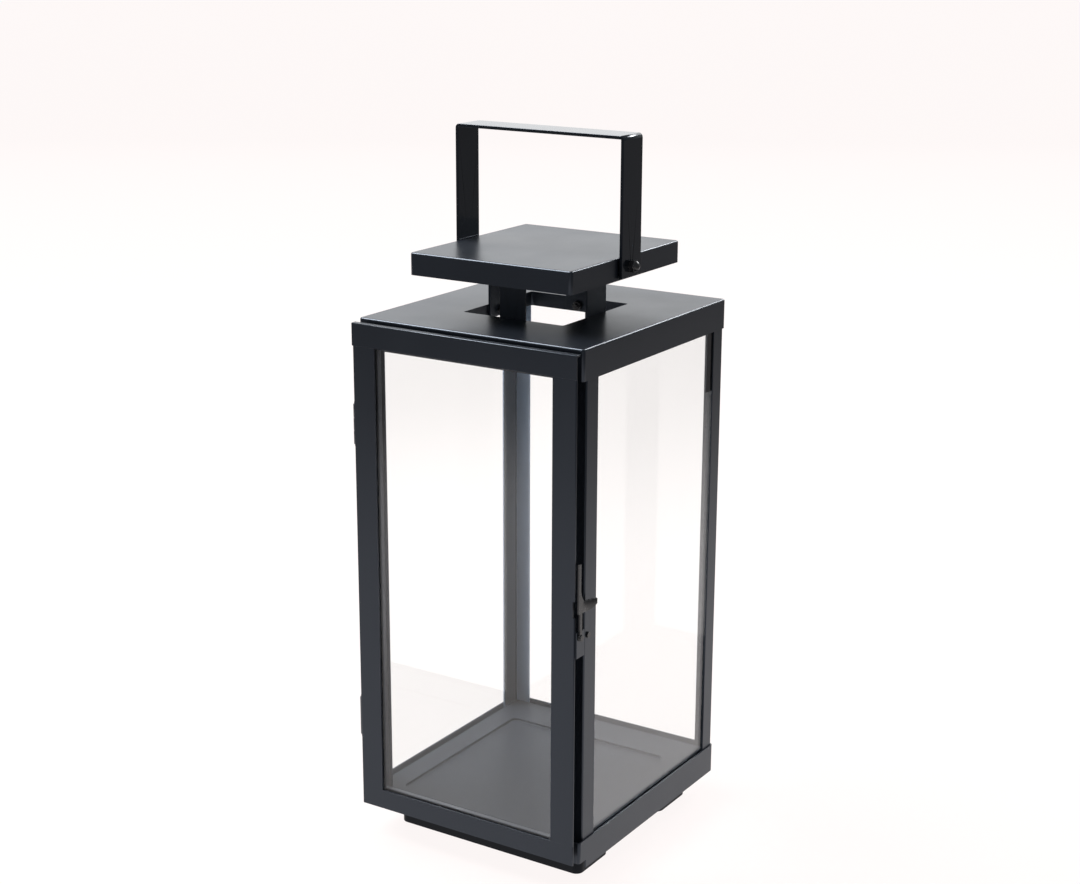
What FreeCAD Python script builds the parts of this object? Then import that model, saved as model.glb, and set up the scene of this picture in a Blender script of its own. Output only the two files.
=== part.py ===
import FreeCAD, Part
import os
import math

os.makedirs("parts", exist_ok=True)

# Frame: +Z up, front (door side) towards -Y, origin on the ground under the middle of the overall depth.
# The functions work from the middle of the body; save() moves each piece to the origin.
# All lengths are millimetres.

# Driving sizes
WIDTH = 157.0            # roof and base, left to right
DEPTH = 170.0            # roof and base, front to back
ROOF_TOP = 334.0
CAP_TOP = 372.0
HANDLE_TOP = 443.0
SHEET = 1.0
GLASS = 2.0

# Base
RUNNER_H = 18.5
RUNNER_HALF_X = 67.5
RUNNER_W = 36.0
RUNNER_FRONT_Y = -67.0
RUNNER_REAR_Y = 33.0
RUNNER_CORNER = 5.0
RUNNER_EDGE = 0.5
SKIRT_BOTTOM = 13.3      # sides and back hang below the tray, hiding the tops of the runners
SKIRT_SETBACK = 8.0      # cut back from the front, under the door
RIM_TOP = 32.0
RIM_CORNER = 2.0
RIM_BEND = 1.2           # outside radius where a rim folds down or up
FLOOR_TOP = 30.0
FLOOR_BORDER_X = 15.0
FLOOR_BORDER_BACK = 27.0
FLOOR_BORDER_FRONT = 5.0
FLOOR_RECESS = 1.8
FLOOR_RECESS_CORNER = 4.0
FLOOR_GAP_LEFT = 0.4     # panel to pane
FLOOR_GAP_RIGHT = 1.8

# Posts (L sections inside the roof and base rims)
FRONT_POST_SETBACK = 4.0  # behind the front edge of roof and base, clear of the door
FRONT_POST_SIDE = 13.0
FRONT_POST_FACE = 14.0
BACK_RIGHT_POST_SIDE = 11.5
BACK_LEFT_POST_SIDE = 17.5
BACK_POST_FACE = 12.5

# Panes and the bent tabs that hold them
PANE_TOP_GAP = 2.0
PANE_SIDE_GAP = 0.5
TAB_TOP_LEG = 7.0
TAB_SHORT_Z = 318.0
TAB_LONG_Z = 276.5
TAB_W = 10.0
TAB_POST_GAP = 4.0

# Roof, vent and cap
ROOF_RIM = 18.5
VENT_X = 73.0
VENT_Y = 78.0
VENT_FLANGE = 9.0
VENT_CORNER = 2.5
CAP_X = 113.0
CAP_Y = 126.0
CAP_RIM = 13.6
CAP_CORNER = 2.0
LEG_THICK = 1.5
SIDE_LEG_W = 22.0
END_LEG_W = 18.0
LEG_FOOT = 11.0
LEG_BELOW = 8.6          # how far a leg reaches below the roof top
LEG_SCREW_Z = ROOF_TOP - 5.0
LEG_SCREW_R = 1.5
LEG_SCREW_PAST = 4.0     # shaft beyond the leg
LEG_HEAD_R = 2.8
LEG_HEAD_H = 2.0
LEG_NUT_FLATS = 5.5
LEG_NUT_H = 2.4

# Handle
HANDLE_W = 22.0
HANDLE_T = 2.0
HANDLE_GAP = 0.6         # washer thickness between cap rim and handle
HANDLE_BOTTOM = 359.6
HANDLE_BEND = 2.6
PIVOT_Z = 366.0
PIVOT_SHAFT_R = 2.0
PIVOT_CLEAR = 0.05
PIVOT_HEAD_R = 3.6
PIVOT_HEAD_H = 2.4
PIVOT_THREAD = 3.0       # shaft beyond the handle
WASHER_R = 4.5
CAP_NUT_FLATS = 7.0
CAP_NUT_H = 3.0
CAP_NUT_DOME_R = 3.3
CAP_NUT_CLEAR = 0.15

# Door
DOOR_HALF = 78.2
DOOR_TOP = 332.0
DOOR_BOTTOM = 20.5
DOOR_FRONT = -92.0
DOOR_BACK = -85.6
STILE_W = 15.7
TOP_RAIL_H = 14.0
TOP_RAIL_LID = 4.0
TOP_RAIL_LEFT = 0.7      # how far the top rail passes the hinge stile
BOTTOM_RAIL_H = 12.5
DOOR_FOLD = 0.6          # outside radius of the door's folded edges
INNER_LAP = 7.0          # inner frame behind the face strips
PANE_CLEAR = 0.3

# Hinges
HINGE_X = -79.0
HINGE_Y = -88.5
HINGE_LEN = 25.0
UPPER_HINGE_Z = 256.5
LOWER_HINGE_Z = 66.5
KNUCKLE_R = 2.0
PIN_R = 1.0
PIN_CLEAR = 0.05
KNUCKLE_GAP = 0.25
RIVET_R = 1.25
RIVET_HEAD_R = 2.4
RIVET_HEAD_H = 0.9
RIVET_SETBACK = 9.0      # from the front of the base rim
RIVET_END = 4.5          # from the end of the hinge
BODY_LEAF_START = 1.0    # from the front of the base rim
BODY_LEAF_END = 13.0
DOOR_LEAF_START = 2.6    # from the hinge axis
DOOR_LEAF_END = 9.0
PIN_HEAD_R = 1.5
PIN_HEAD_H = 1.4

# Latch
LATCH_PIVOT_Y = -88.4
LATCH_PIVOT_Z = 165.0
LATCH_T = 1.2
LATCH_W = 4.6
LATCH_TOP = 210.0
LATCH_PLATE_TOP = 168.5
LATCH_PLATE_BOTTOM = 152.5
LATCH_PLATE_BACK = -82.4
LATCH_PIN_R = 1.2
TONGUE_Z = 180.0
TONGUE_H = 6.5
TONGUE_REACH = 11.5
TONGUE_OUT = 3.6
LATCH_GAP = 0.2          # lever to plate
LATCH_ARM_W = 1.9
LATCH_NECK_H = 8.0       # above the tongue, where the lever narrows to its arm
LATCH_NECK_R = 10.0
LATCH_BOSS_R = 2.0
LATCH_HEAD_R = 1.8
LATCH_HEAD_H = 0.7
LATCH_SLOT_DEEP = 1.4    # notch in the door's edge beside the tongue
LATCH_SLOT_LOW = 177.5
LATCH_SLOT_HIGH = 187.5
STOP_SETBACK = 4.0       # from the front of the post
STOP_Z = 162.5
STOP_R = 1.2

# Worked out from the driving sizes
HX = WIDTH / 2
HY = DEPTH / 2
MIDDLE_Y = (HY + DOOR_FRONT) / 2
POST_X = HX - SHEET
POST_Y = HY - SHEET
FRONT_POST_Y = -POST_Y + FRONT_POST_SETBACK
TRAY_BOTTOM = RUNNER_H
TRAY_FLOOR = TRAY_BOTTOM + SHEET
ROOF_UNDER = ROOF_TOP - SHEET
CAP_UNDER = CAP_TOP - SHEET
GLASS_TOP = ROOF_UNDER - PANE_TOP_GAP
SIDE_GLASS_X = POST_X - SHEET
BACK_GLASS_Y = POST_Y - SHEET
FLOOR_LEFT_X = -(SIDE_GLASS_X - GLASS - FLOOR_GAP_LEFT)
FLOOR_RIGHT_X = SIDE_GLASS_X - GLASS - FLOOR_GAP_RIGHT
FLOOR_FRONT_Y = FRONT_POST_Y + SHEET + 0.2
FLOOR_BACK_Y = BACK_GLASS_Y - GLASS - FLOOR_GAP_LEFT
OPEN_HALF = DOOR_HALF - STILE_W
OPEN_TOP = DOOR_TOP - TOP_RAIL_H
OPEN_BOTTOM = DOOR_BOTTOM + BOTTOM_RAIL_H
DOOR_GLASS_BACK = DOOR_FRONT + SHEET + GLASS
LEG_IN_X = VENT_X / 2 - SHEET
LEG_IN_Y = VENT_Y / 2 - SHEET
CAP_RIM_BOTTOM = CAP_TOP - CAP_RIM
HANDLE_IN = CAP_X / 2 + HANDLE_GAP
HANDLE_OUT = HANDLE_IN + HANDLE_T
BODY_RIVET_Y = -POST_Y + RIVET_SETBACK
STOP_Y = FRONT_POST_Y + STOP_SETBACK


def box(x0, x1, y0, y1, z0, z1):
    return Part.makeBox(x1 - x0, y1 - y0, z1 - z0, FreeCAD.Vector(x0, y0, z0))


def rod(x, y, z, radius, length, direction):
    return Part.makeCylinder(radius, length, FreeCAD.Vector(x, y, z), FreeCAD.Vector(*direction))


def upright(edge):
    a = edge.Vertexes[0].Point
    b = edge.Vertexes[-1].Point
    return abs(a.x - b.x) < 1e-6 and abs(a.y - b.y) < 1e-6


def at_height(edge, z):
    return all(abs(v.Point.z - z) < 1e-6 for v in edge.Vertexes)


def rounded_box(x0, x1, y0, y1, z0, z1, corner, top=0.0, bottom=0.0):
    solid = box(x0, x1, y0, y1, z0, z1)
    if corner > 0:
        solid = solid.makeFillet(corner, [e for e in solid.Edges if upright(e)])
    if top > 0:
        solid = solid.makeFillet(top, [e for e in solid.Edges if at_height(e, z1)])
    if bottom > 0:
        solid = solid.makeFillet(bottom, [e for e in solid.Edges if at_height(e, z0)])
    return solid


def prism_z(points, z0, z1):
    wire = Part.makePolygon([FreeCAD.Vector(x, y, z0) for x, y in points + points[:1]])
    return Part.Face(wire).extrude(FreeCAD.Vector(0, 0, z1 - z0))


def fused(shapes):
    whole = shapes[0]
    for other in shapes[1:]:
        whole = whole.fuse(other)
    return whole.removeSplitter()


def save(shape, node):
    placed = shape.translated(FreeCAD.Vector(0, -MIDDLE_Y, 0))
    placed.exportStep("parts/" + node + ".step")


def group(shapes, node):
    save(Part.makeCompound(shapes), node)


def mirrored_x(shape):
    return shape.mirror(FreeCAD.Vector(0, 0, 0), FreeCAD.Vector(1, 0, 0))


def mirrored_y(shape):
    return shape.mirror(FreeCAD.Vector(0, 0, 0), FreeCAD.Vector(0, 1, 0))


# Bottom sheet with a rim standing up around it and a short skirt below it on the sides and back.
def base_tray():
    outer = rounded_box(-HX, HX, -HY, HY, SKIRT_BOTTOM, RIM_TOP, RIM_CORNER)
    inner = box(-POST_X, POST_X, -POST_Y, POST_Y, TRAY_FLOOR, RIM_TOP + 1)
    inner = inner.makeFillet(RIM_CORNER - SHEET, [e for e in inner.Edges if upright(e)])
    under = box(-POST_X, POST_X, -HY - 1, POST_Y, SKIRT_BOTTOM - 1, TRAY_BOTTOM)
    front_ends = box(-HX - 1, HX + 1, -HY - 1, -HY + SKIRT_SETBACK, SKIRT_BOTTOM - 1, TRAY_BOTTOM)
    return outer.cut(inner).cut(under).cut(front_ends)


# A false floor dropped into the tray: recessed middle, raised border, edges folded down to the tray.
def floor_panel():
    x0 = FLOOR_LEFT_X + FLOOR_BORDER_X
    x1 = FLOOR_RIGHT_X - FLOOR_BORDER_X
    y0 = FLOOR_FRONT_Y + FLOOR_BORDER_FRONT
    y1 = FLOOR_BACK_Y - FLOOR_BORDER_BACK
    middle = FLOOR_TOP - FLOOR_RECESS
    outer = box(FLOOR_LEFT_X, FLOOR_RIGHT_X, FLOOR_FRONT_Y, FLOOR_BACK_Y, TRAY_FLOOR, FLOOR_TOP)
    hollow = box(
        FLOOR_LEFT_X + SHEET, FLOOR_RIGHT_X - SHEET,
        FLOOR_FRONT_Y + SHEET, FLOOR_BACK_Y - SHEET,
        TRAY_FLOOR - 1, FLOOR_TOP - SHEET,
    )
    pan = rounded_box(
        x0 - SHEET, x1 + SHEET, y0 - SHEET, y1 + SHEET, middle - SHEET, FLOOR_TOP - 0.5,
        FLOOR_RECESS_CORNER + SHEET,
    )
    recess = rounded_box(x0, x1, y0, y1, middle, FLOOR_TOP + 1, FLOOR_RECESS_CORNER, bottom=FLOOR_RECESS / 2)
    return outer.cut(hollow).fuse(pan).cut(recess).removeSplitter()


def runner(y0):
    return rounded_box(
        -RUNNER_HALF_X, RUNNER_HALF_X, y0, y0 + RUNNER_W, 0.0, RUNNER_H, RUNNER_CORNER,
        bottom=RUNNER_EDGE,
    )


# L-section post for the right-hand side; face is the leg along X, side is the leg along Y.
def right_post(front, side, face):
    y_out = FRONT_POST_Y if front else POST_Y
    inward = 1 if front else -1
    points = [
        (POST_X, y_out),
        (POST_X, y_out + inward * side),
        (POST_X - SHEET, y_out + inward * side),
        (POST_X - SHEET, y_out + inward * SHEET),
        (POST_X - face, y_out + inward * SHEET),
        (POST_X - face, y_out),
    ]
    post = prism_z(points, TRAY_FLOOR, ROOF_UNDER)
    corner = [
        e for e in post.Edges
        if upright(e) and abs(e.Vertexes[0].Point.x - POST_X) < 1e-6
        and abs(e.Vertexes[0].Point.y - y_out) < 1e-6
    ]
    return post.makeFillet(RIM_CORNER - SHEET, corner)


def side_glass():
    return box(
        SIDE_GLASS_X - GLASS, SIDE_GLASS_X,
        FRONT_POST_Y + SHEET + PANE_SIDE_GAP, BACK_GLASS_Y - GLASS - 0.2,
        TRAY_FLOOR, GLASS_TOP,
    )


def back_glass():
    half = SIDE_GLASS_X - PANE_SIDE_GAP
    return box(-half, half, BACK_GLASS_Y - GLASS, BACK_GLASS_Y, TRAY_FLOOR, GLASS_TOP)


# Bent tab that holds a side pane against a post: one leg on the pane, one welded to the roof sheet.
def side_tab(y0, y1, z0):
    x_face = SIDE_GLASS_X - GLASS
    upright_leg = box(x_face - SHEET, x_face, y0, y1, z0, ROOF_UNDER)
    top_leg = box(x_face - TAB_TOP_LEG, x_face, y0, y1, ROOF_UNDER - SHEET, ROOF_UNDER)
    return fused([upright_leg, top_leg])


def back_tab(x0, x1, z0):
    y_face = BACK_GLASS_Y - GLASS
    upright_leg = box(x0, x1, y_face - SHEET, y_face, z0, ROOF_UNDER)
    top_leg = box(x0, x1, y_face - TAB_TOP_LEG, y_face, ROOF_UNDER - SHEET, ROOF_UNDER)
    return fused([upright_leg, top_leg])


def roof():
    outer = rounded_box(-HX, HX, -HY, HY, ROOF_TOP - ROOF_RIM, ROOF_TOP, RIM_CORNER, top=RIM_BEND)
    inner = box(-POST_X, POST_X, -POST_Y, POST_Y, ROOF_TOP - ROOF_RIM - 1, ROOF_UNDER)
    inner = inner.makeFillet(RIM_CORNER - SHEET, [e for e in inner.Edges if upright(e)])
    shell = outer.cut(inner)
    flange = rounded_box(
        -VENT_X / 2, VENT_X / 2, -VENT_Y / 2, VENT_Y / 2, ROOF_TOP - VENT_FLANGE, ROOF_TOP, VENT_CORNER
    )
    hole = rounded_box(
        -LEG_IN_X, LEG_IN_X, -LEG_IN_Y, LEG_IN_Y, ROOF_TOP - VENT_FLANGE - 1, ROOF_TOP + 1,
        VENT_CORNER - SHEET,
    )
    shell = shell.fuse(flange).cut(hole)
    for x, y, direction in leg_screw_places():
        shell = shell.cut(through_rod(x, y, LEG_SCREW_Z, LEG_SCREW_R, direction))
    return shell.removeSplitter()


# Middle of each vent side on the flange's inner face, with the outward direction.
def leg_screw_places():
    return [
        (LEG_IN_X, 0, (1, 0, 0)),
        (-LEG_IN_X, 0, (-1, 0, 0)),
        (0, LEG_IN_Y, (0, 1, 0)),
        (0, -LEG_IN_Y, (0, -1, 0)),
    ]


def through_rod(x, y, z, radius, direction):
    reach = 6.0
    start = (x - direction[0] * reach, y - direction[1] * reach)
    return rod(start[0], start[1], z, radius, 2 * reach, direction)


# Strip leg on the +X side: screwed inside the vent flange, foot turned in under the cap.
def side_leg():
    low = ROOF_TOP - LEG_BELOW
    stem = box(LEG_IN_X - LEG_THICK, LEG_IN_X, -SIDE_LEG_W / 2, SIDE_LEG_W / 2, low, CAP_UNDER)
    foot = box(
        LEG_IN_X - LEG_FOOT, LEG_IN_X, -SIDE_LEG_W / 2, SIDE_LEG_W / 2, CAP_UNDER - LEG_THICK, CAP_UNDER
    )
    leg = fused([stem, foot])
    return leg.cut(through_rod(LEG_IN_X, 0, LEG_SCREW_Z, LEG_SCREW_R, (1, 0, 0)))


def end_leg():
    low = ROOF_TOP - LEG_BELOW
    stem = box(-END_LEG_W / 2, END_LEG_W / 2, LEG_IN_Y - LEG_THICK, LEG_IN_Y, low, CAP_UNDER)
    foot = box(
        -END_LEG_W / 2, END_LEG_W / 2, LEG_IN_Y - LEG_FOOT, LEG_IN_Y, CAP_UNDER - LEG_THICK, CAP_UNDER
    )
    leg = fused([stem, foot])
    return leg.cut(through_rod(0, LEG_IN_Y, LEG_SCREW_Z, LEG_SCREW_R, (0, 1, 0)))


# M3 pan screw from the outside of the flange, its shaft reaching in past the nut.
def leg_screw(x, y, direction):
    dx, dy, _ = direction
    inner = LEG_THICK + LEG_SCREW_PAST
    outer = SHEET
    shaft = rod(x - dx * inner, y - dy * inner, LEG_SCREW_Z, LEG_SCREW_R, inner + outer, direction)
    head = rod(x + dx * outer, y + dy * outer, LEG_SCREW_Z, LEG_HEAD_R, LEG_HEAD_H, direction)
    return fused([shaft, head])


def hex_nut(x, y, z, flats, height, direction, bore):
    radius = flats / math.sqrt(3)
    axis = FreeCAD.Vector(*direction)
    points = []
    for i in range(7):
        angle = math.radians(60 * i)
        across = FreeCAD.Vector(-direction[1], direction[0], 0) * (radius * math.cos(angle))
        points.append(FreeCAD.Vector(x, y, z + radius * math.sin(angle)) + across)
    body = Part.Face(Part.makePolygon(points)).extrude(axis * height)
    if bore > 0:
        body = body.cut(rod(x, y, z, bore, height, direction))
    return body


def leg_nut(x, y, direction):
    dx, dy, _ = direction
    back = (-dx, -dy, 0)
    at_x = x - dx * LEG_THICK
    at_y = y - dy * LEG_THICK
    return hex_nut(at_x, at_y, LEG_SCREW_Z, LEG_NUT_FLATS, LEG_NUT_H, back, LEG_SCREW_R)


def cap():
    half_x = CAP_X / 2
    half_y = CAP_Y / 2
    outer = rounded_box(-half_x, half_x, -half_y, half_y, CAP_RIM_BOTTOM, CAP_TOP, CAP_CORNER, top=RIM_BEND)
    inner = rounded_box(
        -half_x + SHEET, half_x - SHEET, -half_y + SHEET, half_y - SHEET,
        CAP_RIM_BOTTOM - 1, CAP_UNDER, CAP_CORNER - SHEET,
    )
    shell = outer.cut(inner)
    return shell.cut(rod(-half_x - 1, 0, PIVOT_Z, PIVOT_SHAFT_R, CAP_X + 2, (1, 0, 0)))


# One flat strip bent square twice, standing outside the cap.
def handle():
    outer = box(-HANDLE_OUT, HANDLE_OUT, -HANDLE_W / 2, HANDLE_W / 2, HANDLE_BOTTOM, HANDLE_TOP)
    bend = [
        e for e in outer.Edges
        if at_height(e, HANDLE_TOP) and abs(abs(e.Vertexes[0].Point.x) - HANDLE_OUT) < 1e-6
        and abs(e.Vertexes[0].Point.x - e.Vertexes[-1].Point.x) < 1e-6
    ]
    outer = outer.makeFillet(HANDLE_BEND, bend)
    inner = box(
        -HANDLE_IN, HANDLE_IN, -HANDLE_W / 2 - 1, HANDLE_W / 2 + 1, HANDLE_BOTTOM - 1, HANDLE_TOP - HANDLE_T
    )
    strip = outer.cut(inner)
    bore = PIVOT_SHAFT_R + PIVOT_CLEAR
    return strip.cut(rod(-HANDLE_OUT - 1, 0, PIVOT_Z, bore, 2 * HANDLE_OUT + 2, (1, 0, 0)))


# M4 screw on the right: head inside the cap, shaft out through cap, washer and handle.
def pivot_screw():
    inside = CAP_X / 2 - SHEET
    head = rod(inside - PIVOT_HEAD_H, 0, PIVOT_Z, PIVOT_HEAD_R, PIVOT_HEAD_H, (1, 0, 0))
    shaft = rod(inside, 0, PIVOT_Z, PIVOT_SHAFT_R, HANDLE_OUT + PIVOT_THREAD - inside, (1, 0, 0))
    return fused([head, shaft])


def pivot_washer():
    ring = rod(CAP_X / 2, 0, PIVOT_Z, WASHER_R, HANDLE_GAP - 0.1, (1, 0, 0))
    return ring.cut(rod(CAP_X / 2 - 1, 0, PIVOT_Z, PIVOT_SHAFT_R, 3, (1, 0, 0)))


# Domed cap nut that keeps the handle on, just clear of the strip.
def pivot_cap_nut():
    start = HANDLE_OUT + CAP_NUT_CLEAR
    body = hex_nut(start, 0, PIVOT_Z, CAP_NUT_FLATS, CAP_NUT_H, (1, 0, 0), 0.0)
    dome = Part.makeSphere(CAP_NUT_DOME_R, FreeCAD.Vector(start + CAP_NUT_H - 1.0, 0, PIVOT_Z))
    dome = dome.common(box(start + 1.0, start + 8, -5, 5, PIVOT_Z - 5, PIVOT_Z + 5))
    shaft = rod(start - 1, 0, PIVOT_Z, PIVOT_SHAFT_R, 1 + HANDLE_OUT + PIVOT_THREAD - start, (1, 0, 0))
    return fused([body, dome]).cut(shaft)


# Door frame: four face strips in one plane, tied together by the folded inner frame behind them.
def face_strip(x0, x1, z0, z1, folded_x):
    strip = box(x0, x1, DOOR_FRONT, DOOR_FRONT + SHEET, z0, z1)
    return strip.makeFillet(DOOR_FOLD, [
        e for e in strip.Edges
        if upright(e) and abs(e.Vertexes[0].Point.x - folded_x) < 1e-6
        and abs(e.Vertexes[0].Point.y - DOOR_FRONT) < 1e-6
    ])


def left_stile():
    return face_strip(-DOOR_HALF, -OPEN_HALF, DOOR_BOTTOM, OPEN_TOP, -DOOR_HALF)


# The latch stile has a small notch in its edge beside the latch tongue.
def right_stile():
    strip = face_strip(OPEN_HALF, DOOR_HALF, OPEN_BOTTOM, OPEN_TOP, DOOR_HALF)
    notch_x = DOOR_HALF - LATCH_SLOT_DEEP
    return strip.cut(
        box(notch_x, DOOR_HALF + 1, DOOR_FRONT - 1, DOOR_FRONT + 2, LATCH_SLOT_LOW, LATCH_SLOT_HIGH)
    )


# Top rail with a lid folded back over the inner frame; it passes the hinge stile by a little.
def top_rail():
    x0 = -DOOR_HALF - TOP_RAIL_LEFT
    front = box(x0, DOOR_HALF, DOOR_FRONT, DOOR_FRONT + SHEET, OPEN_TOP, DOOR_TOP)
    lid = box(x0, DOOR_HALF, DOOR_FRONT, DOOR_FRONT + TOP_RAIL_LID, DOOR_TOP - SHEET, DOOR_TOP)
    rail = fused([front, lid])
    return rail.makeFillet(DOOR_FOLD, [
        e for e in rail.Edges
        if at_height(e, DOOR_TOP) and all(abs(v.Point.y - DOOR_FRONT) < 1e-6 for v in e.Vertexes)
    ])


def bottom_rail():
    return face_strip(-OPEN_HALF, DOOR_HALF, DOOR_BOTTOM, OPEN_BOTTOM, DOOR_HALF)


# Folded inner frame behind the pane: ties the four face strips together and boxes in the glass.
def inner_frame():
    outer_x = OPEN_HALF + INNER_LAP
    z0 = OPEN_BOTTOM - INNER_LAP
    z1 = OPEN_TOP + INNER_LAP
    y0 = DOOR_GLASS_BACK
    plate = box(-outer_x, outer_x, y0, y0 + SHEET, z0, z1)
    walls = box(-outer_x, outer_x, DOOR_FRONT + SHEET, y0 + SHEET, z0, z1)
    pane_room = box(
        -outer_x + SHEET, outer_x - SHEET, DOOR_FRONT, y0, z0 + SHEET, z1 - SHEET
    )
    frame = walls.cut(pane_room).fuse(plate)
    lip_out = box(-OPEN_HALF, OPEN_HALF, y0, DOOR_BACK, OPEN_BOTTOM, OPEN_TOP)
    lip_in = box(
        -OPEN_HALF + SHEET, OPEN_HALF - SHEET, y0 - 1, DOOR_BACK + 1, OPEN_BOTTOM + SHEET, OPEN_TOP - SHEET
    )
    return frame.fuse(lip_out).cut(lip_in).removeSplitter()


def door_glass():
    lap = INNER_LAP - SHEET - PANE_CLEAR
    half = OPEN_HALF + lap
    return box(-half, half, DOOR_FRONT + SHEET, DOOR_GLASS_BACK, OPEN_BOTTOM - lap, OPEN_TOP + lap)


def hinge_rivet_heights(z):
    return [z + RIVET_END, z + HINGE_LEN - RIVET_END]


# Body half of a hinge: the two end knuckles and the plate on the side of the post.
def body_leaf(z):
    third = HINGE_LEN / 3
    plate = box(-HX, -POST_X, -POST_Y + BODY_LEAF_START, -POST_Y + BODY_LEAF_END, z, z + HINGE_LEN)
    parts = [plate]
    for z0 in (z, z + 2 * third):
        knuckle = rod(HINGE_X, HINGE_Y, z0, KNUCKLE_R, third, (0, 0, 1))
        arm = box(-HX, -POST_X, HINGE_Y, -POST_Y + 2.0, z0, z0 + third)
        parts.extend([knuckle, arm])
    leaf = fused(parts)
    leaf = leaf.cut(rod(HINGE_X, HINGE_Y, z - 1, PIN_R, HINGE_LEN + 2, (0, 0, 1)))
    for rivet_z in hinge_rivet_heights(z):
        leaf = leaf.cut(rod(-HX - 1, BODY_RIVET_Y, rivet_z, RIVET_R, 3, (1, 0, 0)))
    return leaf


# Door half: the middle knuckle and the plate spot-welded behind the left stile.
def door_leaf(z):
    third = HINGE_LEN / 3
    y0 = DOOR_FRONT + SHEET
    z0 = z + third + KNUCKLE_GAP
    z1 = z + 2 * third - KNUCKLE_GAP
    plate = box(HINGE_X + DOOR_LEAF_START, HINGE_X + DOOR_LEAF_END, y0, y0 + SHEET, z, z + HINGE_LEN)
    arm = box(HINGE_X, HINGE_X + 3.0, y0, y0 + SHEET, z0, z1)
    knuckle = rod(HINGE_X, HINGE_Y, z0, KNUCKLE_R, z1 - z0, (0, 0, 1))
    leaf = fused([plate, arm, knuckle])
    leaf = leaf.cut(rod(HINGE_X, HINGE_Y, z - 1, PIN_R + PIN_CLEAR, HINGE_LEN + 2, (0, 0, 1)))
    return leaf


def hinge_pin(z):
    shaft = rod(HINGE_X, HINGE_Y, z - 1, PIN_R, HINGE_LEN + 2, (0, 0, 1))
    low = rod(HINGE_X, HINGE_Y, z - PIN_HEAD_H, PIN_HEAD_R, PIN_HEAD_H, (0, 0, 1))
    high = rod(HINGE_X, HINGE_Y, z + HINGE_LEN, PIN_HEAD_R, PIN_HEAD_H, (0, 0, 1))
    return fused([shaft, low, high])


# Flat-headed rivet through leaf and post, finished flush inside so the pane clears it.
def hinge_rivet(z):
    shank = rod(-HX, BODY_RIVET_Y, z, RIVET_R, 2 * SHEET, (1, 0, 0))
    head = rod(-HX, BODY_RIVET_Y, z, RIVET_HEAD_R, RIVET_HEAD_H, (-1, 0, 0))
    return fused([shank, head])


# Angle plate riveted behind the right stile; carries the latch rivet.
def latch_plate():
    x0 = DOOR_HALF
    plate = box(x0, x0 + SHEET, DOOR_FRONT + SHEET, LATCH_PLATE_BACK, LATCH_PLATE_BOTTOM, LATCH_PLATE_TOP)
    tail = box(
        OPEN_HALF + INNER_LAP + 1.0, x0 + SHEET, DOOR_FRONT + SHEET, DOOR_FRONT + 2 * SHEET,
        LATCH_PLATE_BOTTOM, LATCH_PLATE_TOP,
    )
    angle = fused([plate, tail])
    return angle.cut(rod(x0 - 1, LATCH_PIVOT_Y, LATCH_PIVOT_Z, LATCH_PIN_R, 4, (1, 0, 0)))


def latch_rivet():
    x0 = DOOR_HALF + SHEET
    head_x = x0 + LATCH_GAP + LATCH_T + 0.15
    shank = rod(x0 - SHEET, LATCH_PIVOT_Y, LATCH_PIVOT_Z, LATCH_PIN_R, head_x - x0 + SHEET, (1, 0, 0))
    inside = rod(x0 - SHEET - 0.8, LATCH_PIVOT_Y, LATCH_PIVOT_Z, 1.5, 0.8, (1, 0, 0))
    head = rod(head_x, LATCH_PIVOT_Y, LATCH_PIVOT_Z, LATCH_HEAD_R, LATCH_HEAD_H, (1, 0, 0))
    return fused([shank, inside, head])


# Bent strip lever: lower arm on the rivet, thumb tongue reaching back over the post, slim upper arm.
def latch_lever():
    x0 = DOOR_HALF + SHEET + LATCH_GAP
    x1 = x0 + LATCH_T
    y0 = LATCH_PIVOT_Y - LATCH_W / 2
    y1 = LATCH_PIVOT_Y + LATCH_W / 2
    half_arm = LATCH_ARM_W / 2
    neck_z = TONGUE_Z + TONGUE_H + LATCH_NECK_H
    boss = rod(x0, LATCH_PIVOT_Y, LATCH_PIVOT_Z, LATCH_BOSS_R, LATCH_T, (1, 0, 0))
    lower = box(x0, x1, LATCH_PIVOT_Y - half_arm, LATCH_PIVOT_Y + half_arm, LATCH_PIVOT_Z, TONGUE_Z + 1)
    upper = box(x0, x1, y0, y0 + LATCH_ARM_W, TONGUE_Z, LATCH_TOP)
    neck = box(x0, x1, y0, y1, TONGUE_Z, neck_z)
    curve = rod(x0 - 1, y0 + LATCH_ARM_W + LATCH_NECK_R, neck_z, LATCH_NECK_R, LATCH_T + 2, (1, 0, 0))
    arm = fused([boss, lower, upper, neck]).cut(curve)
    tongue = tongue_strip(x0, y1 - 1.0)
    lever = fused([arm, tongue])
    bore = LATCH_PIN_R + 0.05
    return lever.cut(rod(x0 - 1, LATCH_PIVOT_Y, LATCH_PIVOT_Z, bore, LATCH_T + 2, (1, 0, 0)))


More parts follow.
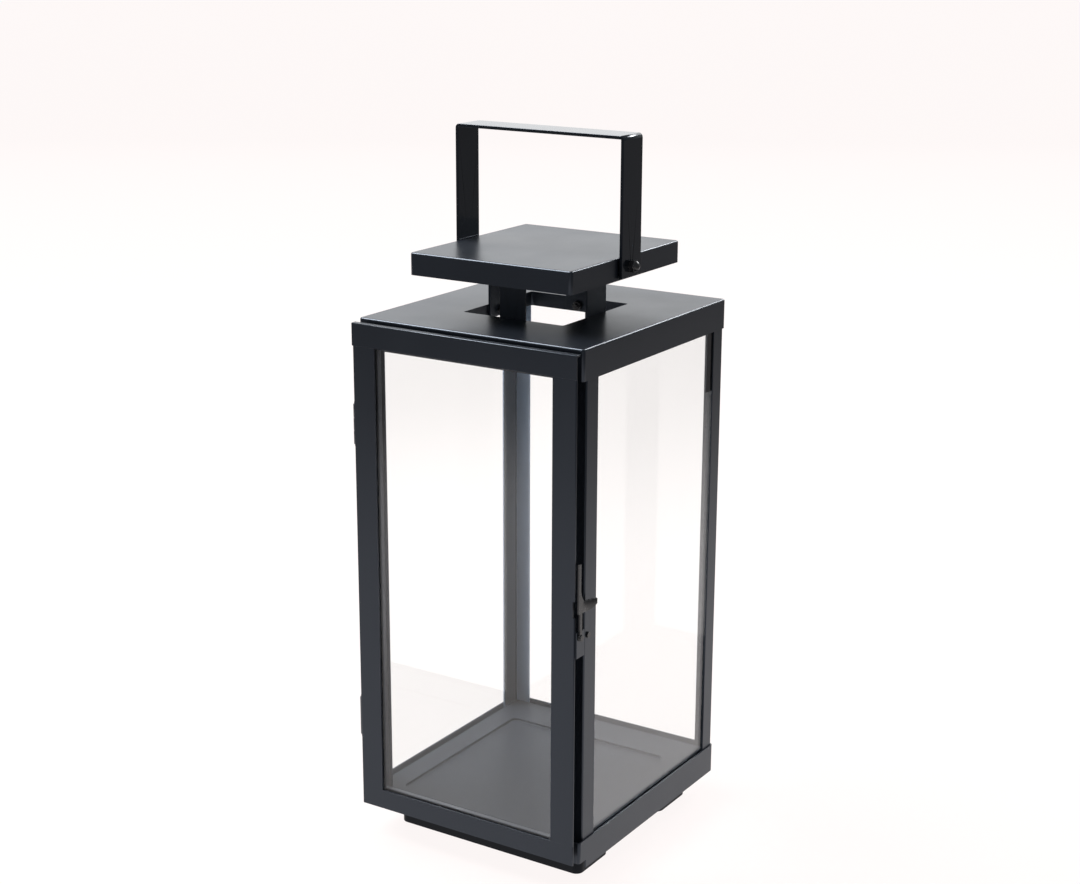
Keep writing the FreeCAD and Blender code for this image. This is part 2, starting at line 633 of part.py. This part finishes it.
# Tongue: leaves the arm along +Y and curls outward in X; its lower edge rises in a curve to the tip.
def tongue_strip(x0, y0):
    mid_y = y0 + TONGUE_REACH * 0.55
    end_y = y0 + TONGUE_REACH
    inside = Part.Arc(
        FreeCAD.Vector(x0, y0, 0),
        FreeCAD.Vector(x0 + TONGUE_OUT * 0.22, mid_y, 0),
        FreeCAD.Vector(x0 + TONGUE_OUT, end_y, 0),
    ).toShape()
    outside = Part.Arc(
        FreeCAD.Vector(x0 + TONGUE_OUT + LATCH_T * 0.8, end_y - LATCH_T * 0.6, 0),
        FreeCAD.Vector(x0 + TONGUE_OUT * 0.22 + LATCH_T, mid_y - 0.3, 0),
        FreeCAD.Vector(x0 + LATCH_T, y0, 0),
    ).toShape()
    tip = Part.makeLine(inside.Vertexes[-1].Point, outside.Vertexes[0].Point)
    root = Part.makeLine(outside.Vertexes[-1].Point, inside.Vertexes[0].Point)
    face = Part.Face(Part.Wire([inside, tip, outside, root]))
    strip = face.extrude(FreeCAD.Vector(0, 0, TONGUE_H))
    strip.translate(FreeCAD.Vector(0, 0, TONGUE_Z))
    straight = box(x0 - 1, x0 + 9, y0 - 1, end_y - TONGUE_H, TONGUE_Z, TONGUE_Z + TONGUE_H)
    disc = rod(x0 - 1, end_y - TONGUE_H, TONGUE_Z + TONGUE_H, TONGUE_H, 10, (1, 0, 0))
    return strip.common(straight.fuse(disc))


# Small round stop on the side of the post, under the tongue.
def latch_stop():
    shank = rod(POST_X - SHEET, STOP_Y, STOP_Z, STOP_R, SHEET, (1, 0, 0))
    head = rod(POST_X, STOP_Y, STOP_Z, 1.5 * STOP_R, SHEET, (1, 0, 0))
    return fused([shank, head])


save(base_tray(), "base_tray")
save(floor_panel(), "floor_panel")
save(runner(RUNNER_FRONT_Y), "front_runner")
save(runner(RUNNER_REAR_Y), "rear_runner")

front_right = right_post(True, FRONT_POST_SIDE, FRONT_POST_FACE)
front_right = front_right.cut(rod(POST_X - 3, STOP_Y, STOP_Z, STOP_R, 5, (1, 0, 0)))
front_left = mirrored_x(right_post(True, FRONT_POST_SIDE, FRONT_POST_FACE))
for hinge_z in (UPPER_HINGE_Z, LOWER_HINGE_Z):
    for rivet_z in hinge_rivet_heights(hinge_z):
        front_left = front_left.cut(rod(-POST_X - 1, BODY_RIVET_Y, rivet_z, RIVET_R, 3, (1, 0, 0)))
save(front_left, "front_left_post")
save(front_right, "front_right_post")
save(mirrored_x(right_post(False, BACK_LEFT_POST_SIDE, BACK_POST_FACE)), "back_left_post")
save(right_post(False, BACK_RIGHT_POST_SIDE, BACK_POST_FACE), "back_right_post")

save(mirrored_x(side_glass()), "glass_left")
save(side_glass(), "glass_right")
save(back_glass(), "glass_back")

front_tab_y = FRONT_POST_Y + TAB_POST_GAP
back_tab_y = BACK_GLASS_Y - GLASS - TAB_POST_GAP - TAB_W
right_tabs = [
    side_tab(front_tab_y, front_tab_y + TAB_W, TAB_SHORT_Z),
    side_tab(back_tab_y, back_tab_y + TAB_W, TAB_LONG_Z),
]
group(right_tabs, "glass_tabs_right")
group([mirrored_x(tab) for tab in right_tabs], "glass_tabs_left")
back_tab_x = SIDE_GLASS_X - 2 * TAB_W
back_pane_tab = back_tab(back_tab_x - TAB_W / 2, back_tab_x + TAB_W / 2, TAB_SHORT_Z)
group([back_pane_tab, mirrored_x(back_pane_tab)], "glass_tabs_back")

save(roof(), "roof")
save(side_leg(), "cap_leg_right")
save(mirrored_x(side_leg()), "cap_leg_left")
save(end_leg(), "cap_leg_back")
save(mirrored_y(end_leg()), "cap_leg_front")
group([leg_screw(x, y, d) for x, y, d in leg_screw_places()], "cap_leg_screws")
group([leg_nut(x, y, d) for x, y, d in leg_screw_places()], "cap_leg_nuts")
save(cap(), "cap")

save(handle(), "handle")
group([pivot_screw(), mirrored_x(pivot_screw())], "handle_screws")
group([pivot_washer(), mirrored_x(pivot_washer())], "handle_washers")
group([pivot_cap_nut(), mirrored_x(pivot_cap_nut())], "handle_cap_nuts")

save(top_rail(), "door_top_rail")
save(bottom_rail(), "door_bottom_rail")
save(left_stile(), "door_left_stile")
save(right_stile(), "door_right_stile")
save(inner_frame(), "door_inner_frame")
save(door_glass(), "door_glass")

save(body_leaf(UPPER_HINGE_Z), "upper_hinge_body_leaf")
save(body_leaf(LOWER_HINGE_Z), "lower_hinge_body_leaf")
save(door_leaf(UPPER_HINGE_Z), "upper_hinge_door_leaf")
save(door_leaf(LOWER_HINGE_Z), "lower_hinge_door_leaf")
save(hinge_pin(UPPER_HINGE_Z), "upper_hinge_pin")
save(hinge_pin(LOWER_HINGE_Z), "lower_hinge_pin")
rivets = []
for hinge_z in (UPPER_HINGE_Z, LOWER_HINGE_Z):
    for rivet_z in hinge_rivet_heights(hinge_z):
        rivets.append(hinge_rivet(rivet_z))
group(rivets, "hinge_rivets")

save(latch_plate(), "latch_plate")
save(latch_rivet(), "latch_rivet")
save(latch_lever(), "latch_lever")
save(latch_stop(), "latch_stop")
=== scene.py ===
import math

import bpy
from mathutils import Matrix, Vector


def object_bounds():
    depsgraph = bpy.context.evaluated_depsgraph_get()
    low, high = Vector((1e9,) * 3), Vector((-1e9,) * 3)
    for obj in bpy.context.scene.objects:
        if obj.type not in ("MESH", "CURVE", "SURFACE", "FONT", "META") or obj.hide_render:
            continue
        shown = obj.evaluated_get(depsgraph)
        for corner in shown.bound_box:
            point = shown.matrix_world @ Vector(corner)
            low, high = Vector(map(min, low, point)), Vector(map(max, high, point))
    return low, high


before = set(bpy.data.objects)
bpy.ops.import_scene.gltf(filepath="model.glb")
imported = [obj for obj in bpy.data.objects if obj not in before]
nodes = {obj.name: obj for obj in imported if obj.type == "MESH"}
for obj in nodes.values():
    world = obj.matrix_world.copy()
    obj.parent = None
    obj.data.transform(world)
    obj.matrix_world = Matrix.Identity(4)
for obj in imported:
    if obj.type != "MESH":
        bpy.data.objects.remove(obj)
cad_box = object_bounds()
scene = bpy.context.scene

# Camera, solved for the photograph's viewing angle
CAMERA_AT = Vector((0.6226, -0.9767, 0.5765))
AZIMUTH = math.radians(32.611)
ELEVATION = math.radians(15.755)
ROLL = math.radians(0.185)
LENS_MM = 64.68
SENSOR_MM = 36.0

# The glowing part of the floor: a wedge that opens away from the camera
FLOOR_GAP = 0.0002       # metres between the feet and the floor
POOL_SPREAD = 0.30       # half-width gained for each metre away from the camera
POOL_SHIFT = 0.18        # metres from the camera's line to its middle line, to the left
POOL_EDGE = 0.24         # half-width beside the camera, where the fade starts, in metres
POOL_FADE = 0.50         # width of the fade, in metres
POOL_BRIGHT = 0.96       # strength of the glow inside the wedge
POOL_DARK = 0.17         # strength outside it

# Coats of the sheet steel, dark and light base colours
BLACK_DARK = (0.0034, 0.0046, 0.0072)
BLACK_LIGHT = (0.0048, 0.0062, 0.0092)
EDGE_ROUNDING = 0.00022  # metres, on every cut and folded edge

GLASS_NODES = ["glass_left", "glass_right", "glass_back", "door_glass"]
RUNNER_NODES = ["front_runner", "rear_runner"]
FLOOR_NODES = ["floor_panel"]
HARDWARE_NODES = [
    "cap_leg_screws", "cap_leg_nuts", "handle_screws", "handle_washers", "handle_cap_nuts",
    "upper_hinge_pin", "lower_hinge_pin", "hinge_rivets", "latch_rivet", "latch_stop", "latch_lever",
]


class Mat:
    """A Principled material with short calls for adding and joining nodes."""

    def __init__(self, name):
        self.material = bpy.data.materials.new(name)
        self.material.use_nodes = True
        self.tree = self.material.node_tree
        self.bsdf = self.tree.nodes["Principled BSDF"]
        self.coords = self.add("ShaderNodeTexCoord").outputs["Object"]

    def add(self, kind, **settings):
        node = self.tree.nodes.new(kind)
        for key, value in settings.items():
            setattr(node, key, value)
        return node

    def join(self, source, target):
        self.tree.links.new(source, target)

    def set(self, **values):
        for key, value in values.items():
            self.bsdf.inputs[key.replace("_", " ")].default_value = value

    def noise(self, scale, detail=3.0, roughness=0.5, stretch=(1, 1, 1)):
        mapping = self.add("ShaderNodeMapping")
        mapping.inputs["Scale"].default_value = stretch
        self.join(self.coords, mapping.inputs["Vector"])
        node = self.add("ShaderNodeTexNoise")
        node.inputs["Scale"].default_value = scale
        node.inputs["Detail"].default_value = detail
        node.inputs["Roughness"].default_value = roughness
        self.join(mapping.outputs["Vector"], node.inputs["Vector"])
        return node.outputs["Fac"]

    def spread(self, source, low, high, to_low, to_high):
        node = self.add("ShaderNodeMapRange")
        node.inputs["From Min"].default_value = low
        node.inputs["From Max"].default_value = high
        node.inputs["To Min"].default_value = to_low
        node.inputs["To Max"].default_value = to_high
        self.join(source, node.inputs["Value"])
        return node.outputs["Result"]

    def mix(self, factor, first, second, blend="MIX"):
        node = self.add("ShaderNodeMix", data_type="RGBA", blend_type=blend)
        if isinstance(factor, float):
            node.inputs["Factor"].default_value = factor
        else:
            self.join(factor, node.inputs["Factor"])
        for socket, value in ((node.inputs["A"], first), (node.inputs["B"], second)):
            if isinstance(value, tuple):
                socket.default_value = (*value, 1.0)
            else:
                self.join(value, socket)
        return node.outputs["Result"]

    def maths(self, operation, a, b):
        node = self.add("ShaderNodeMath", operation=operation)
        for socket, value in zip(node.inputs, (a, b)):
            if isinstance(value, (int, float)):
                socket.default_value = value
            else:
                self.join(value, socket)
        return node.outputs["Value"]

    def bump(self, height, strength, distance):
        node = self.add("ShaderNodeBump")
        node.inputs["Strength"].default_value = strength
        node.inputs["Distance"].default_value = distance
        self.join(height, node.inputs["Height"])
        self.join(node.outputs["Normal"], self.bsdf.inputs["Normal"])


def edge_mask(m, radius, low, high):
    """1 on folds and cut edges, 0 on flat sheet."""
    rounded = m.add("ShaderNodeBevel", samples=6)
    rounded.inputs["Radius"].default_value = radius
    geometry = m.add("ShaderNodeNewGeometry")
    dot = m.add("ShaderNodeVectorMath", operation="DOT_PRODUCT")
    m.join(rounded.outputs["Normal"], dot.inputs[0])
    m.join(geometry.outputs["Normal"], dot.inputs[1])
    return m.spread(dot.outputs["Value"], high, low, 0.0, 1.0)


def painted_reflection_faces(m):
    """1 on the faces turned to the right or to the front, where a painted reflection goes, 0 on the others.
    """
    parts = m.add("ShaderNodeSeparateXYZ")
    m.join(m.add("ShaderNodeTexCoord").outputs["Normal"], parts.inputs["Vector"])
    facing = m.maths("MAXIMUM", parts.outputs["X"], m.maths("MULTIPLY", parts.outputs["Y"], -1.0))
    return m.spread(facing, 0.6, 0.9, 0.0, 1.0)


def coating(name, dark, light, rough_low, rough_high, specular, grain=0.10, wear_and_highlight=0.22, painted_reflection=None):
    """Satin powder coat: fine orange peel, faint clouding of the sheen, and edges a little paler, partly
    from wear and partly as a painted highlight. With a reflection colour given, a pale bluish painted
    reflection goes on the faces turned to the right or to the front.
    """
    m = Mat(name)
    cloud = m.noise(11.0, detail=3.0)
    wipe = m.noise(30.0, detail=3.0, stretch=(1, 1, 0.25))
    peel = m.noise(1300.0, detail=2.0)
    speck = m.noise(4200.0, detail=1.0)
    clouding = m.maths("ADD", m.maths("MULTIPLY", cloud, 0.6), m.maths("MULTIPLY", wipe, 0.4))
    shade = m.spread(clouding, 0.3, 0.7, 0.0, 1.0)
    base = m.mix(shade, dark, light)
    patches = m.spread(m.noise(240.0, detail=5.0), 0.40, 0.62, 0.1, 1.0)
    # Edges painted paler: partly wear, partly a painted highlight along the folds and cut edges
    worn_and_highlit_edges = m.maths("MULTIPLY", edge_mask(m, 0.0007, 0.80, 0.98), patches)
    if painted_reflection:
        # Painted reflection: a pale bluish sheen mixed into the colour of the faces turned to the right or
        # to the front
        streak = m.spread(m.noise(60.0, detail=4.0, stretch=(1, 1, 0.06)), 0.35, 0.65, 0.7, 1.0)
        base = m.mix(m.maths("MULTIPLY", painted_reflection_faces(m), streak), base, painted_reflection)
    pale = tuple(min(1.0, 5.0 * c + 0.03) for c in light)
    m.join(m.mix(m.maths("MULTIPLY", worn_and_highlit_edges, wear_and_highlight), base, pale), m.bsdf.inputs["Base Color"])
    rough = m.spread(shade, 0.0, 1.0, rough_low, rough_high)
    m.join(m.maths("ADD", rough, m.maths("MULTIPLY", speck, 0.05)), m.bsdf.inputs["Roughness"])
    m.bsdf.inputs["Specular IOR Level"].default_value = specular
    m.bsdf.inputs["Specular Tint"].default_value = (0.72, 0.83, 1.0, 1.0)
    m.bump(m.maths("ADD", peel, m.maths("MULTIPLY", speck, 0.35)), grain, 0.00015)
    return m


def hardware(name, dark, light):
    """Blackened steel: a little shinier than the coat, with fine turned or rolled marks and paler rims,
    partly wear and partly a painted highlight.
    """
    m = Mat(name)
    streak = m.noise(900.0, detail=3.0, stretch=(1, 1, 6))
    patch = m.noise(120.0, detail=3.0)
    # Paler rims: partly wear, partly a painted highlight along the edges
    edges = m.maths("MULTIPLY", edge_mask(m, 0.0004, 0.80, 0.98), m.spread(patch, 0.35, 0.6, 0.3, 1.0))
    m.join(m.mix(edges, m.mix(patch, dark, light), (0.16, 0.165, 0.17)), m.bsdf.inputs["Base Color"])
    m.join(m.spread(streak, 0.3, 0.7, 0.20, 0.36), m.bsdf.inputs["Roughness"])
    m.bsdf.inputs["Specular IOR Level"].default_value = 0.5
    m.bump(streak, 0.08, 0.0001)
    return m


def clear_glass():
    """Window glass that lets lamps through, so the panes don't darken what they cover."""
    m = Mat("clear_glass_look")
    m.set(Transmission_Weight=1.0, Roughness=0.0, IOR=1.45)
    m.bsdf.inputs["Base Color"].default_value = (0.99, 0.998, 0.995, 1.0)
    ripple = m.noise(14.0, detail=1.0)
    m.bump(ripple, 0.02, 0.0005)
    through = m.add("ShaderNodeBsdfTransparent")
    through.inputs["Color"].default_value = (0.985, 0.99, 0.99, 1.0)
    path = m.add("ShaderNodeLightPath")
    blend = m.add("ShaderNodeMixShader")
    m.join(path.outputs["Is Shadow Ray"], blend.inputs["Fac"])
    m.join(m.bsdf.outputs["BSDF"], blend.inputs[1])
    m.join(through.outputs["BSDF"], blend.inputs[2])
    out = m.tree.nodes["Material Output"]
    m.join(blend.outputs["Shader"], out.inputs["Surface"])
    return m


def dress(obj, material):
    obj.data.materials.clear()
    obj.data.materials.append(material)
    for polygon in obj.data.polygons:
        polygon.material_index = 0


def soften(obj, width, segments=2):
    """Round the sheet's cut and folded edges a little, so that they catch the light."""
    weld = obj.modifiers.new("weld", "WELD")
    weld.merge_threshold = 0.00002
    bevel = obj.modifiers.new("edge", "BEVEL")
    bevel.width = width
    bevel.segments = segments
    bevel.limit_method = "ANGLE"
    bevel.angle_limit = math.radians(35)
    bevel.harden_normals = True


black = coating("black_coating_look", BLACK_DARK, BLACK_LIGHT, 0.26, 0.33, specular=0.56).material
# For the back left post: a pale bluish painted reflection on its faces turned to the right or to the front
reflection_painted_black = coating(
    "reflection_painted_coating_look", BLACK_DARK, BLACK_LIGHT, 0.26, 0.33, specular=0.56, painted_reflection=(0.240, 0.300, 0.400)
).material
floor_black = coating(
    "floor_coating_look", (0.0085, 0.0100, 0.0130), (0.0140, 0.0160, 0.0200), 0.34, 0.42,
    specular=0.10, grain=0.04,
).material
runner_black = coating(
    "runner_look", (0.0030, 0.0032, 0.0036), (0.0052, 0.0054, 0.0060), 0.45, 0.58, specular=0.20, grain=0.2
).material
handle_black = coating(
    "handle_coating_look", (0.0026, 0.0034, 0.0050), (0.0040, 0.0050, 0.0072), 0.10, 0.15,
    specular=0.50, grain=0.05,
).material
dark_metal = hardware("hardware_look", (0.008, 0.008, 0.009), (0.022, 0.022, 0.024)).material
glass = clear_glass().material

for name, obj in nodes.items():
    if name in GLASS_NODES:
        dress(obj, glass)
    elif name in RUNNER_NODES:
        dress(obj, runner_black)
    elif name in FLOOR_NODES:
        dress(obj, floor_black)
    elif name == "back_left_post":
        dress(obj, reflection_painted_black)
    elif name == "handle":
        dress(obj, handle_black)
    elif name in HARDWARE_NODES:
        dress(obj, dark_metal)
    else:
        dress(obj, black)
    if name not in GLASS_NODES:
        soften(obj, EDGE_ROUNDING)

# Floor: a dull sheet that looks pale because it glows, in one soft wedge that opens away from the camera
low, high = cad_box
middle = (Vector(low) + Vector(high)) / 2
bpy.ops.mesh.primitive_plane_add(size=60.0, location=(0.0, 0.0, low[2] - FLOOR_GAP))
ground = bpy.context.object
ground.name = "studio_floor"
paper = Mat("studio_floor_look")
paper.set(Roughness=0.6)
paper.bsdf.inputs["Base Color"].default_value = (0.05, 0.047, 0.0465, 1.0)
paper.bsdf.inputs["Specular IOR Level"].default_value = 0.05
placed = paper.add("ShaderNodeMapping", vector_type="TEXTURE")
placed.inputs["Rotation"].default_value = (0.0, 0.0, AZIMUTH)
placed.inputs["Location"].default_value = (CAMERA_AT.x, CAMERA_AT.y, 0.0)
paper.join(paper.coords, placed.inputs["Vector"])
parts = paper.add("ShaderNodeSeparateXYZ")
paper.join(placed.outputs["Vector"], parts.inputs["Vector"])
across = paper.maths("ABSOLUTE", paper.maths("ADD", parts.outputs["X"], POOL_SHIFT), 0.0)
outside = paper.maths("SUBTRACT", across, paper.maths("MULTIPLY", parts.outputs["Y"], POOL_SPREAD))
fade = paper.add("ShaderNodeMapRange", interpolation_type="SMOOTHSTEP")
for socket, value in (
    ("From Min", POOL_EDGE), ("From Max", POOL_EDGE + POOL_FADE),
    ("To Min", POOL_BRIGHT), ("To Max", POOL_DARK),
):
    fade.inputs[socket].default_value = value
paper.join(outside, fade.inputs["Value"])
paper.bsdf.inputs["Emission Color"].default_value = (1.0, 0.95, 0.94, 1.0)
paper.join(fade.outputs["Result"], paper.bsdf.inputs["Emission Strength"])
ground.data.materials.append(paper.material)

# Light
world = bpy.data.worlds.new("studio")
scene.world = world
world.use_nodes = True
world.node_tree.nodes["Background"].inputs["Color"].default_value = (0.90, 0.95, 1.0, 1.0)
world.node_tree.nodes["Background"].inputs["Strength"].default_value = 0.30


def soft_light(name, at, width, height, radiance):
    """A softbox at a place seen from the lantern's middle, with the brightness of its face."""
    data = bpy.data.lights.new(name, "AREA")
    data.shape = "RECTANGLE"
    data.size = width
    data.size_y = height
    data.energy = radiance * math.pi * width * height
    lamp = bpy.data.objects.new(name, data)
    scene.collection.objects.link(lamp)
    lamp.location = middle + Vector(at)
    lamp.rotation_euler = (-Vector(at)).to_track_quat("-Z", "Y").to_euler()
    lamp.visible_camera = False


soft_light("overhead", (-0.95, -0.25, 1.6), 1.1, 1.1, 20.0)
soft_light("backdrop", (-1.7, 2.7, 1.0), 3.4, 1.7, 1.15)
soft_light("edge", (0.35, 1.7, 1.15), 0.9, 0.5, 16.0)

# Camera
back = Vector((
    math.sin(AZIMUTH) * math.cos(ELEVATION), -math.cos(AZIMUTH) * math.cos(ELEVATION), math.sin(ELEVATION)
))
right = Vector((0, 0, 1)).cross(back).normalized()
up = back.cross(right)
turned_right = math.cos(ROLL) * right + math.sin(ROLL) * up
turned_up = -math.sin(ROLL) * right + math.cos(ROLL) * up
camera_data = bpy.data.cameras.new("camera")
camera_data.lens = LENS_MM
camera_data.sensor_width = SENSOR_MM
camera_data.clip_end = 100.0
camera = bpy.data.objects.new("camera", camera_data)
turn = Matrix((turned_right, turned_up, back)).transposed().to_4x4()
camera.matrix_world = Matrix.Translation(CAMERA_AT) @ turn
scene.collection.objects.link(camera)
scene.camera = camera

scene.view_settings.view_transform = "Standard"
scene.view_settings.look = "None"
